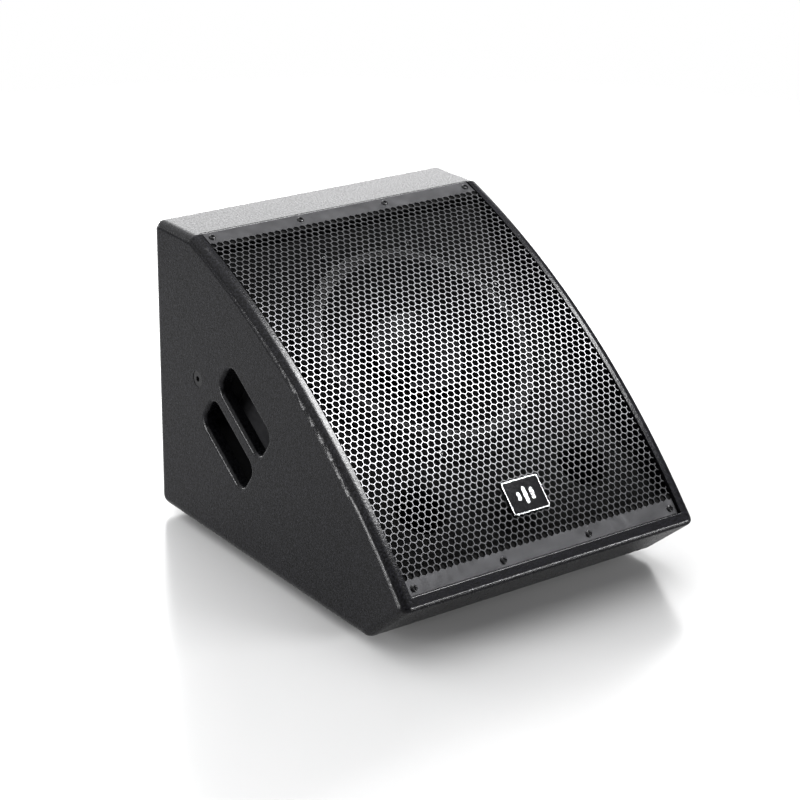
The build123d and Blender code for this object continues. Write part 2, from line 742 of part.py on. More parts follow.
def amp_plate():
    """Aluminium plate that closes the opening and carries the controls."""
    sheet = plate(AMP_WIDE, AMP_HIGH, 4.0, -AMP_PLATE, 0)
    holes = [(XLR_IN_SPOT, xlr_hole()), (XLR_OUT_SPOT, xlr_hole())]
    holes += [(spot, rod(SHAFT_RADIUS + 0.5, -2 * AMP_PLATE, AMP_PLATE)) for spot in KNOB_SPOTS]
    holes += [(spot, rod(LED_RADIUS, -2 * AMP_PLATE, AMP_PLATE)) for spot in LED_SPOTS]
    holes += [
        (BUTTON_SPOT, rod(BUTTON_RADIUS + RUNNING_GAP * 2, -2 * AMP_PLATE, AMP_PLATE)),
        (GAIN_SPOT, block(GAIN_SLOT_WIDE, GAIN_SLOT_HIGH, -2 * AMP_PLATE, AMP_PLATE)),
        (INLET_SPOT, block(*INLET_BODY, -2 * AMP_PLATE, AMP_PLATE)),
        (ROCKER_SPOT, block(*ROCKER_BODY, -2 * AMP_PLATE, AMP_PLATE)),
        (FUSE_SPOT, block(*FUSE_BODY, -2 * AMP_PLATE, AMP_PLATE)),
    ]
    for spot, hole in holes:
        sheet -= Pos(*spot, 0) * hole
    for spot in amp_screw_spots():
        sheet -= Pos(*spot, 0) * rod(1.7, -2 * AMP_PLATE, AMP_PLATE)
    return AMP * sheet


def heat_sink():
    """Finned block on the plate, within the depth of the recess."""
    base = block(SINK_WIDE, SINK_HIGH, 0, 2.5)
    fins = []
    step = (SINK_WIDE - 2.0) / (SINK_FINS - 1)
    for i in range(SINK_FINS):
        x = -SINK_WIDE / 2 + 1.0 + i * step
        fins.append(Pos(x, 0, 0) * block(2.0, SINK_HIGH, 2.5, AMP_RECESS - 1.0))
    for fin in fins:
        base += fin
    return on_amp(SINK_SPOT) * base


def xlr_input():
    """Three pole input socket: flange, barrel and the slot for its latch."""
    flange = plate(26.0, 33.0, 3.0, 0, 2.0)
    barrel = rod(11.9, -24.0, 0)
    mouth = tube(9.4, 7.9, -14.0, 3.0)
    contacts = [Rot(0, 0, a) * Pos(0, 4.0, 0) * rod(1.4, -12.0, 3.0) for a in (30, 150, 270)]
    latch_case = Pos(0, LATCH_UP, 0) * block(LATCH_WIDE + 2.4, LATCH_HIGH + 2.4, -10.0, 0)
    latch_room = Pos(0, LATCH_UP, 0) * block(LATCH_WIDE + 0.4, LATCH_HIGH + 0.4, -8.0, 3.0)
    body = flange + barrel + latch_case - mouth - latch_room
    for hole in contacts:
        body -= hole
    return on_amp(XLR_IN_SPOT) * body


def input_latch():
    """Thumb tab that frees the plug when it is pressed in."""
    tab = plate(LATCH_WIDE, LATCH_HIGH, 0.8, -4.0, 4.6)
    return on_amp(XLR_IN_SPOT) * Pos(0, LATCH_UP, 0) * tab


def xlr_output():
    """Three pole link socket with its pins."""
    flange = plate(26.0, 31.0, 3.0, 0, 2.0)
    barrel = rod(11.9, -24.0, 0)
    room = rod(9.2, -14.0, 3.0)
    pins = [Rot(0, 0, a) * Pos(0, 4.0, 0) * rod(1.2, -15.0, -3.0) for a in (30, 150, 270)]
    body = flange + barrel - room
    for pin in pins:
        body += pin
    return on_amp(XLR_OUT_SPOT) * body


def power_inlet():
    """Mains inlet: flange, shrouded cavity and three blades."""
    wide, high = INLET_BODY
    flange = plate(wide + 13.0, high + 6.0, 3.0, 0, 2.5)
    body = block(wide - 0.4, high - 0.4, -26.0, 0)
    room = plate(25.0, 17.0, 2.0, -16.0, 4.0)
    blades = [Pos(x, y, 0) * block(2.0, 4.5, -17.0, -3.0) for x, y in ((-7.0, -2.0), (7.0, -2.0), (0, 2.5))]
    shape = flange + body - room
    for blade in blades:
        shape += blade
    return on_amp(INLET_SPOT) * shape


def fuse_holder():
    wide, high = FUSE_BODY
    flange = plate(wide + 6.0, high + 6.0, 2.0, 0, 2.0)
    body = block(wide - 0.4, high - 0.4, -30.0, 0)
    room = block(wide - 3.6, high - 3.6, -27.0, 3.0)
    return on_amp(FUSE_SPOT) * (flange + body - room)


def fuse_drawer():
    """Sliding tray for the fuse, with a lip to pull it by."""
    wide, high = FUSE_BODY
    gap = 2 * RUNNING_GAP
    tray = block(wide - 3.6 - 2 * gap, high - 3.6 - 2 * gap, -26.0, 2.2)
    tray -= Pos(0, (high - 3.6) / 4, 0) * block(5.4, high, -24.0, -3.0)
    face = plate(wide + 2.0, high + 2.0, 1.5, 2.2, 4.2)
    lip = Pos(0, -high / 2 + 2.0, 0) * block(wide / 2, 2.0, 4.2, 6.4)
    return on_amp(FUSE_SPOT) * (tray + face + lip)


def rocker_frame():
    wide, high = ROCKER_BODY
    flange = plate(wide + 4.0, high + 4.0, 2.0, 0, 2.4)
    body = block(wide - 0.4, high - 0.4, -20.0, 0)
    room = block(wide - 3.0, high - 3.0, -17.0, 3.0)
    bearing = Rot(0, 90, 0) * Cylinder(ROCKER_PIN + RUNNING_GAP, wide - 0.4)
    return on_amp(ROCKER_SPOT) * (flange + body - room - bearing)


def rocker():
    """Mains rocker; it turns about a pin across its middle and rests pressed at one end."""
    wide, high = ROCKER_BODY
    half = high / 2 - 2.4
    side = make_face(Plane.YZ * Polyline((-half, 4.2), (0, 2.6), (half, 4.2), (half - 0.6, -3.0),
                                         (0, -6.0), (-half + 0.6, -3.0), close=True))
    body = extrude(side, amount=(wide - 3.6) / 2, both=True)
    pin = Rot(0, 90, 0) * Cylinder(ROCKER_PIN, wide - 0.8)
    return on_amp(ROCKER_SPOT) * Rot(ROCKER_TILT, 0, 0) * (body + pin)


def knob(spot):
    """Fluted control knob with its shaft and a pointer line."""
    cap = turned((0, 1.0), (KNOB_RADIUS, 1.0), (KNOB_RADIUS, 3.0), (KNOB_RADIUS - 1.2, 4.0),
                 (KNOB_RADIUS - 1.8, 10.0), (KNOB_RADIUS - 2.6, 10.8), (0, 10.8))
    for i in range(FLUTES):
        turn = Rot(0, 0, (i + 0.5) * 360 / FLUTES)
        cap -= turn * Pos(KNOB_RADIUS - 0.6, 0, 0) * rod(1.1, 4.0, 12.0)
    line = Pos(0, KNOB_RADIUS - 4.6, 0) * block(0.9, 5.0, 10.2, 12.0)
    shaft = rod(SHAFT_RADIUS, -POT_DEEP, 1.0)
    return on_amp(spot) * (cap + shaft - line)


def potentiometers():
    """The controls' bodies behind the plate, bored for the knobs' shafts."""
    bodies = []
    for spot in KNOB_SPOTS:
        body = block(17.0, 20.0, -AMP_PLATE - 11.0, -AMP_PLATE)
        bodies.append(on_amp(spot) * (body - rod(SHAFT_RADIUS + RUNNING_GAP, -POT_DEEP - 0.5, 0)))
    return all_of(bodies)


def ground_button():
    return on_amp(BUTTON_SPOT) * turned((0, -9.0), (BUTTON_RADIUS, -9.0), (BUTTON_RADIUS, 3.6),
                                       (BUTTON_RADIUS - 0.5, 4.2), (0, 4.2))


def button_body():
    sleeve = block(9.0, 9.0, -17.0, -AMP_PLATE) - rod(BUTTON_RADIUS + 2 * RUNNING_GAP, -14.0, 0)
    return on_amp(BUTTON_SPOT) * sleeve


def gain_switch():
    """Sliding lever between two gains; it rests at the left end of its slot."""
    lever = block(4.0, GAIN_SLOT_HIGH - 0.3, -6.0, 3.4)
    return on_amp(GAIN_SPOT) * Pos(-GAIN_TRAVEL / 2, 0, 0) * lever


def gain_body():
    wide = GAIN_SLOT_WIDE + 8.0
    body = block(wide, GAIN_SLOT_HIGH + 5.0, -12.0, -AMP_PLATE)
    return on_amp(GAIN_SPOT) * (body - block(GAIN_SLOT_WIDE, GAIN_SLOT_HIGH, -8.0, 0))


def indicators():
    """Three indicator lamps in the plate."""
    lamp = rod(LED_RADIUS, -AMP_PLATE - 3.0, 0.6)
    dome = turned((0, 0.6), (LED_RADIUS, 0.6), (LED_RADIUS * 0.7, 1.5), (0, 1.9))
    return all_of([on_amp(spot) * (lamp + dome) for spot in LED_SPOTS])


def main_board():
    """Circuit board behind the plate, on four standoffs."""
    wide, high = BOARD_SIZE
    pieces = [block(wide, high, BOARD_Z, BOARD_Z + 1.6)]
    for x in (-1, 1):
        for y in (-1, 1):
            post = rod(3.0, BOARD_Z + 1.6, -AMP_PLATE)
            pieces.append(Pos(x * (wide / 2 - 8.0), y * (high / 2 - 6.0), 0) * post)
    return on_amp(BOARD_SPOT) * all_of(pieces)


def power_capacitors():
    cans = [Pos(-58.0 + i * 25.0, -44.0, 0) * rod(11.0, BOARD_Z - 32.0, BOARD_Z) for i in range(4)]
    return on_amp(BOARD_SPOT) * all_of(cans)


def heat_bracket():
    """Angle that spreads the heat of the power transistors."""
    foot = Pos(44.0, 8.0, 0) * block(56.0, 24.0, BOARD_Z - 3.0, BOARD_Z)
    wall = Pos(44.0, 18.5, 0) * block(56.0, 3.0, BOARD_Z - 28.0, BOARD_Z - 3.0)
    return on_amp(BOARD_SPOT) * (foot + wall)


def signal_board():
    """Small board for the input stage, on its own posts."""
    wide, high = 80.0, 60.0
    board = block(wide, high, BOARD_Z - 20.0, BOARD_Z - 18.4)
    for x in (-1, 1):
        for y in (-1, 1):
            board += Pos(x * (wide / 2 - 5.0), y * (high / 2 - 5.0), 0) * rod(2.5, BOARD_Z - 18.4, BOARD_Z)
    return on_amp(BOARD_SPOT) * Pos(-30.0, 30.0, 0) * board


def transformer():
    """Ring core transformer on the floor of the cabinet."""
    place = Pos(TRANSFORMER_X, BACK_Y - TRANSFORMER_BACK, UNDERSIDE_Z + PLY)
    ring = tube(40.0, 12.0, 1.0, 35.0)
    return place * fillet(ring.edges().filter_by(GeomType.CIRCLE).group_by(SortBy.RADIUS)[-1], 8.0)


def transformer_mount():
    place = Pos(TRANSFORMER_X, BACK_Y - TRANSFORMER_BACK, UNDERSIDE_Z + PLY)
    return place * (tube(30.0, 3.0, 0, 1.0) + tube(24.0, 3.0, 35.0, 37.0) + rod(3.0, 0, 42.0))


# ---------------------------------------------------------------------------- lining and feet
def lining_panel(low, high):
    """A slab of damping felt between two corners."""
    size = [b - a for a, b in zip(low, high)]
    middle = [(a + b) / 2 for a, b in zip(low, high)]
    return Pos(*middle) * Box(*size)


def foot_places():
    return {
        "foot_back_left": (-FOOT_ACROSS, FOOT_BACK),
        "foot_back_right": (FOOT_ACROSS, FOOT_BACK),
        "foot_front_left": (-FOOT_ACROSS, FOOT_FRONT),
        "foot_front_right": (FOOT_ACROSS, FOOT_FRONT),
    }


def foot(x, from_back):
    """Tapered rubber foot with a washer pocket in its underside."""
    shape = turned((2.2, 5.0), (7.0, 5.0), (7.0, 0), (FOOT_RADIUS - 3.0, 0), (FOOT_RADIUS - 2.0, 1.0),
                   (FOOT_RADIUS, FOOT_HEIGHT), (2.2, FOOT_HEIGHT))
    return Pos(x, BACK_Y - from_back, 0) * shape


def foot_screws():
    screws = []
    for x, from_back in foot_places().values():
        screw = Pos(0, 0, 5.0) * Rot(180, 0, 0) * cross_screw(4.6, 2.8, 2.2, 16.0)
        screws.append(Pos(x, BACK_Y - from_back, 0) * screw)
    return screws


# ---------------------------------------------------------------------------- every piece
core = cabinet_block(INNER_HALF)
low_cleat, high_cleat = cleats()

parts["side_panel_left"] = left_side_panel()
parts["side_panel_right"] = right_side_panel()
parts["top_panel"] = top_panel(core)
parts["rear_panel"] = rear_panel(core)
parts["bottom_panel"] = bottom_panel(core) - foot_screws()
parts["toe_panel"] = toe_panel(core)
parts["baffle"] = baffle()
parts["cleat_low"] = low_cleat - grille_screws()
parts["cleat_high"] = high_cleat - grille_screws()
parts["handle_pocket"] = handle_pocket()
parts["pole_socket"] = pole_socket()
parts["threaded_inserts"] = all_of([rigging_insert(-1), rigging_insert(1), eyelet_insert()])
parts["rigging_screws"] = all_of([rigging_screw(-1), rigging_screw(1)])

parts["grille"] = grille()
parts["grille_screws"] = all_of(grille_screws())
parts["badge_plate"] = badge_plate()
parts["badge_trim"] = badge_trim()

parts["port_tube_left"] = port_tube(-1)
parts["port_tube_right"] = port_tube(1)

parts["basket"] = basket()
parts["gasket"] = gasket()
parts["roll"] = roll()
parts["cone"] = cone()
parts["voice_coil"] = voice_coil()
parts["spider"] = spider()
parts["top_plate"] = top_plate()
parts["magnet"] = magnet()
parts["back_plate"] = back_plate()
parts["horn"] = horn()
parts["compression_driver"] = compression_driver()
parts["driver_screws"] = all_of(driver_bolts())

parts["amp_battens"] = amp_battens()
parts["amp_plate"] = amp_plate()
parts["amp_screws"] = all_of(amp_screws())
parts["heat_sink"] = heat_sink()
parts["xlr_input"] = xlr_input()
parts["input_latch"] = input_latch()
parts["xlr_output"] = xlr_output()
parts["power_inlet"] = power_inlet()
parts["fuse_holder"] = fuse_holder()
parts["fuse_drawer"] = fuse_drawer()
parts["rocker_frame"] = rocker_frame()
parts["rocker"] = rocker()
for name, spot in zip(("level_knob", "low_knob", "high_knob"), KNOB_SPOTS):
    parts[name] = knob(spot)
parts["potentiometers"] = potentiometers()
parts["ground_button"] = ground_button()
parts["gain_switch"] = gain_switch()
parts["switch_bodies"] = all_of([button_body(), gain_body()])
parts["indicators"] = indicators()
parts["main_board"] = main_board()
parts["power_stage"] = all_of([power_capacitors(), heat_bracket(), signal_board()])
parts["transformer"] = all_of([transformer(), transformer_mount()])

parts["lining"] = lining_panel(
    (-INNER_HALF + 2.0, BACK_Y - 300.0, UNDERSIDE_Z + PLY),
    (INNER_HALF - 2.0, BACK_Y - 130.0, UNDERSIDE_Z + PLY + LINING),
)
for name, (x, from_back) in foot_places().items():
    parts[name] = foot(x, from_back)
parts["foot_screws"] = all_of(foot_screws())

os.makedirs("parts", exist_ok=True)
for name, shape in parts.items():
    export_step(shape, f"parts/{name}.step")
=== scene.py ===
from math import asin, ceil, cos, pi, radians, sin, sqrt

import bmesh
import bpy
from mathutils import Matrix, Vector


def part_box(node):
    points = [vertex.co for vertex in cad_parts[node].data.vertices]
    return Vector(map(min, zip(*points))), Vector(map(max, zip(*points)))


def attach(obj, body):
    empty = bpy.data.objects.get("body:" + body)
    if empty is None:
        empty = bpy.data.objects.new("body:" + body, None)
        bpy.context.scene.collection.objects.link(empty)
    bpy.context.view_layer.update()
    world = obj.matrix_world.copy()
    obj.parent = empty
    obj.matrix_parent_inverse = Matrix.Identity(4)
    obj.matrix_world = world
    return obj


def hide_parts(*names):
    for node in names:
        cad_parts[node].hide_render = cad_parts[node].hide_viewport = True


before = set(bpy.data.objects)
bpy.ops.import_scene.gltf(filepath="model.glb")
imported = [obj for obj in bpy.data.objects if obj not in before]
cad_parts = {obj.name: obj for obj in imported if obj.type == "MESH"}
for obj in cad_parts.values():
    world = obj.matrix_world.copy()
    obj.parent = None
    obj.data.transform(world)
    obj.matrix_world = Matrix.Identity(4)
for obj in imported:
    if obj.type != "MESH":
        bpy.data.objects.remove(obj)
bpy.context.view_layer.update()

# The looks of a stage monitor wedge, in metres, in the frame of its CAD model: +Z up, the grille faces -Y.

# ---------------------------------------------------------------------------- front, as in the CAD model
GRILLE_RADIUS = 0.946         # the grille is part of a cylinder
FRONT_AXIS_Y = 0.49345
FRONT_AXIS_Z = -0.5268
GRILLE_SHEET = 0.0016

# ---------------------------------------------------------------------------- perforation
HOLE_ROWS = 63
LOW_MARGIN = 0.0208           # from the grille's lower end to its first row of holes
HIGH_MARGIN = 0.0221
PATTERN_SHIFT = -0.0004       # the pattern sits a little to the left of the middle
WEB = 0.0015                  # metal between two holes
HOLE_EASE = 0.00018           # sloped rim of each hole
MERGE_STEPS = 1e6             # corners that agree to a micrometre are one corner

# ---------------------------------------------------------------------------- camera
AIM = Vector((-0.0038, 0.0359, 0.1652))
CAMERA_DISTANCE = 2.66
CAMERA_AZIMUTH = radians(35.927)
CAMERA_ELEVATION = radians(21.898)
CAMERA_ROLL = radians(0.707)
LENS = 104.95
SENSOR = 36.0

# ---------------------------------------------------------------------------- studio
FLOOR_SIZE = 16.0
FLOOR_SHADES = (0.62, 0.62, 0.622), (0.64, 0.64, 0.642)
FLOOR_FADE_FROM = 1.3         # the floor ends softly between these distances from the object
FLOOR_FADE_TO = 2.2
SURROUNDINGS = 0.2            # how bright the room is to the object
BACKING = 1.0                 # and how bright it looks behind it
VIEW_GAMMA = 0.76             # a contrasty print

# Soft boxes: where each stands, what it points at, its width and height, its watts, and whether a flag
# keeps its light off the floor.
SOFT_BOXES = {
    "ceiling": dict(place=(-2.6, 2.0, 4.6), target=(-2.6, 2.0, 0.0), size=(9.6, 10.0), power=500),
    "backdrop": dict(place=(0.0, 7.0, 2.5), target=(0.0, 0.0, 2.5), size=(16.0, 5.0), power=380),
    "back_box": dict(place=(1.9, 2.7, 1.5), target=(0.0, 0.0, 0.3), size=(3.0, 1.6), power=40),
    "top_box": dict(place=(0.85, -0.4, 1.85), target=(-0.05, -0.05, 0.2), size=(0.95, 0.95), power=108,
                    flagged=True),
    "left_box": dict(place=(-2.3, 0.5, 0.45), target=(-0.2, 0.0, 0.2), size=(1.2, 0.6), power=60),
    "front_box": dict(place=(1.45, -2.3, 0.6), target=(0.0, -0.2, 0.1), size=(1.5, 0.4), power=80),
    "rear_box": dict(place=(0.5, 2.4, 0.2), target=(0.0, 0.2, 0.2), size=(2.8, 0.3), power=42, flagged=True),
}


# ---------------------------------------------------------------------------- material helpers
class Material:
    """A node material with its principled shader and a few shorthands."""

    def __init__(self, name):
        self.material = bpy.data.materials.new(name)
        self.material.use_nodes = True
        self.nodes = self.material.node_tree.nodes
        self.links = self.material.node_tree.links
        self.shader = self.nodes["Principled BSDF"]
        self.place = self.nodes.new("ShaderNodeTexCoord").outputs["Object"]

    def set(self, socket, value):
        self.shader.inputs[socket].default_value = value

    def noise(self, size, detail=3.0, roughness=0.55, stretch=(1, 1, 1), distortion=0.0):
        """Noise with features of about the given size in metres."""
        node = self.nodes.new("ShaderNodeTexNoise")
        node.inputs["Scale"].default_value = 1 / size
        node.inputs["Detail"].default_value = detail
        node.inputs["Roughness"].default_value = roughness
        node.inputs["Distortion"].default_value = distortion
        self.links.new(self.stretched(stretch), node.inputs["Vector"])
        return node.outputs["Fac"]

    def cells(self, size, smoothness=1.0):
        """Rounded cells of about the given size in metres."""
        node = self.nodes.new("ShaderNodeTexVoronoi")
        node.feature = "SMOOTH_F1"
        node.inputs["Scale"].default_value = 1 / size
        node.inputs["Smoothness"].default_value = smoothness
        self.links.new(self.place, node.inputs["Vector"])
        return node.outputs["Distance"]

    def stretched(self, stretch):
        """The place on the object, scaled along each axis."""
        if stretch == (1, 1, 1):
            return self.place
        node = self.nodes.new("ShaderNodeMapping")
        node.inputs["Scale"].default_value = stretch
        self.links.new(self.place, node.inputs["Vector"])
        return node.outputs["Vector"]

    def ramp(self, source, low, high, low_value=0.0, high_value=1.0):
        """Source mapped from low..high to low_value..high_value, and kept within them."""
        node = self.nodes.new("ShaderNodeMapRange")
        node.inputs["From Min"].default_value = low
        node.inputs["From Max"].default_value = high
        node.inputs["To Min"].default_value = low_value
        node.inputs["To Max"].default_value = high_value
        self.links.new(source, node.inputs["Value"])
        return node.outputs["Result"]

    def mix(self, amount, first, second):
        """Colour between two colours, by an output."""
        node = self.nodes.new("ShaderNodeMix")
        node.data_type = "RGBA"
        self.links.new(amount, node.inputs["Factor"])
        for socket, value in (("A", first), ("B", second)):
            target = [s for s in node.inputs if s.name == socket and s.type == "RGBA"][0]
            if isinstance(value, bpy.types.NodeSocket):
                self.links.new(value, target)
            else:
                target.default_value = (*value, 1)
        return [s for s in node.outputs if s.type == "RGBA"][0]

    def math(self, operation, first, second):
        """One operation on two outputs or numbers."""
        node = self.nodes.new("ShaderNodeMath")
        node.operation = operation
        for i, value in enumerate((first, second)):
            if isinstance(value, bpy.types.NodeSocket):
                self.links.new(value, node.inputs[i])
            else:
                node.inputs[i].default_value = value
        return node.outputs[0]

    def distance(self):
        """Distance from the frame's origin."""
        node = self.nodes.new("ShaderNodeVectorMath")
        node.operation = "LENGTH"
        self.links.new(self.place, node.inputs[0])
        return node.outputs["Value"]

    def colour(self, output):
        self.links.new(output, self.shader.inputs["Base Color"])

    def roughness(self, output):
        self.links.new(output, self.shader.inputs["Roughness"])

    def bump(self, *layers):
        """Bump from (output, height in metres) pairs."""
        normal = None
        for height, depth in layers:
            node = self.nodes.new("ShaderNodeBump")
            node.inputs["Strength"].default_value = 1.0
            node.inputs["Distance"].default_value = depth
            self.links.new(height, node.inputs["Height"])
            if normal is not None:
                self.links.new(normal, node.inputs["Normal"])
            normal = node.outputs["Normal"]
        self.links.new(normal, self.shader.inputs["Normal"])


def cabinet_coat():
    """Sprayed black coating: a hard pebbled skin with a satin sheen, a little scuffed."""
    m = Material("cabinet_coat")
    scuffs = m.ramp(m.noise(size=0.035, detail=6.0, roughness=0.65), 0.52, 0.72)
    grain = m.ramp(m.noise(size=0.0021, detail=3.0, roughness=0.6), 0.42, 0.66)
    plain = m.mix(grain, (0.0015, 0.0015, 0.0019), (0.018, 0.018, 0.0215))
    m.colour(m.mix(m.math("MULTIPLY", scuffs, 0.35), plain, (0.014, 0.014, 0.016)))
    m.roughness(m.ramp(grain, 0.0, 1.0, 0.31, 0.2))
    m.set("Specular IOR Level", 0.28)
    pebbles = m.cells(size=0.0027)
    spray = m.noise(size=0.0014, detail=3.0, roughness=0.6)
    m.bump((pebbles, 0.00014), (spray, 0.0001))
    return m.material


def grille_coat():
    """Dark coated steel with a metallic sheen and a very fine grain."""
    m = Material("grille_coat")
    handled = m.ramp(m.noise(size=0.06, detail=5.0, roughness=0.6), 0.45, 0.75)
    m.set("Metallic", 0.7)
    m.colour(m.mix(handled, (0.06, 0.06, 0.063), (0.078, 0.078, 0.082)))
    m.roughness(m.ramp(m.noise(size=0.012, detail=4.0), 0.3, 0.7, 0.32, 0.42))
    m.set("Specular IOR Level", 0.6)
    m.set("Coat Weight", 0.25)
    m.set("Coat Roughness", 0.3)
    m.bump((m.noise(size=0.0007, detail=2.0), 0.00004))
    return m.material


def smooth_metal(name, colour, roughness):
    """Bare or plated metal with a fine grain and slightly uneven polish."""
    m = Material(name)
    m.set("Metallic", 1.0)
    tarnish = m.ramp(m.noise(size=0.009, detail=5.0), 0.4, 0.7)
    darker = tuple(0.72 * c for c in colour)
    m.colour(m.mix(tarnish, colour, darker))
    polish = m.noise(size=0.002, detail=3.0, roughness=0.5)
    m.roughness(m.ramp(polish, 0.3, 0.7, roughness * 0.75, roughness * 1.3))
    m.bump((m.noise(size=0.0006, detail=2.0, roughness=0.5), 0.00002))
    return m.material


def dark_coat(name, colour, roughness, grain_size=0.0008, depth=0.00005):
    """Painted metal or moulded plastic with a fine texture and dust in it."""
    m = Material(name)
    dust = m.ramp(m.noise(size=0.02, detail=6.0, roughness=0.65), 0.5, 0.75)
    dusty = tuple(c * 1.5 + 0.004 for c in colour)
    m.colour(m.mix(dust, colour, dusty))
    handling = m.noise(size=0.006, detail=4.0)
    m.roughness(m.ramp(handling, 0.3, 0.7, roughness * 0.85, roughness * 1.15))
    m.bump((m.noise(grain_size, detail=2.0), depth))
    return m.material


def matt_black(name, shade):
    """Flat black paint with a slightly chalky, uneven cover."""
    m = Material(name)
    cover = m.noise(size=0.004, detail=5.0, roughness=0.7)
    thick, thin = (shade,) * 3, (2 * shade,) * 3
    m.colour(m.mix(m.ramp(cover, 0.35, 0.7), thick, thin))
    m.set("Roughness", 0.9)
    m.set("Specular IOR Level", 0.15)
    m.bump((cover, 0.0003))
    return m.material


def batten_wood():
    """Softwood battens: long grain along the cabinet's width."""
    m = Material("raw_wood")
    grain = m.noise(size=0.004, detail=5.0, roughness=0.6, stretch=(0.06, 1, 1), distortion=0.4)
    m.colour(m.mix(m.ramp(grain, 0.35, 0.65), (0.42, 0.28, 0.15), (0.24, 0.14, 0.06)))
    m.roughness(m.ramp(grain, 0.3, 0.7, 0.55, 0.75))
    m.bump((grain, 0.0002))
    return m.material


def cone_paper():
    """Pressed pulp cone: fibres and a matt black dye."""
    m = Material("paper_cone")
    fibres = m.noise(size=0.0018, detail=6.0, roughness=0.7, distortion=1.5)
    m.colour(m.mix(m.ramp(fibres, 0.35, 0.7), (0.0015, 0.0015, 0.0017), (0.004, 0.004, 0.0043)))
    m.set("Roughness", 0.85)
    m.set("Specular IOR Level", 0.1)
    m.bump((fibres, 0.0002))
    return m.material


def woven(name, colour, size, depth):
    """Cloth or felt with crossed threads."""
    m = Material(name)
    warp = m.noise(size, detail=1.0, roughness=0.4, stretch=(1, 0.2, 0.2))
    weft = m.noise(size, detail=1.0, roughness=0.4, stretch=(0.2, 1, 1))
    weave = m.math("MAXIMUM", warp, weft)
    m.colour(m.mix(m.ramp(weave, 0.4, 0.7), tuple(0.6 * c for c in colour), colour))
    m.set("Roughness", 0.85)
    m.set("Sheen Weight", 0.25)
    m.bump((weave, depth))
    return m.material


def rubber():
    """Moulded rubber, matt with a slight bloom."""
    m = Material("foot_rubber")
    bloom = m.ramp(m.noise(size=0.01, detail=5.0, roughness=0.6), 0.45, 0.75)
    m.colour(m.mix(bloom, (0.012, 0.012, 0.012), (0.03, 0.03, 0.029)))
    m.roughness(m.ramp(bloom, 0, 1, 0.65, 0.85))
    m.bump((m.noise(size=0.0009, detail=3.0), 0.00008))
    return m.material


def lamp_lens():
    """Green tinted lens of an indicator lamp."""
    m = Material("lamp")
    m.colour(m.mix(m.noise(size=0.0012, detail=2.0), (0.03, 0.35, 0.06), (0.05, 0.55, 0.1)))
    m.set("Roughness", 0.18)
    m.set("Transmission Weight", 0.3)
    m.set("Coat Weight", 0.6)
    return m.material


def circuit_board():
    """Lacquered board with a pattern of tracks."""
    m = Material("board")
    tracks = m.ramp(m.cells(size=0.006, smoothness=0.2), 0.3, 0.34)
    m.colour(m.mix(tracks, (0.01, 0.12, 0.04), (0.02, 0.2, 0.07)))
    m.set("Roughness", 0.35)
    m.bump((tracks, 0.00004))
    return m.material


def paint(material, *names):
    """Gives the named CAD nodes one material."""
    for name in names:
        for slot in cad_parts[name].material_slots:
            slot.material = material


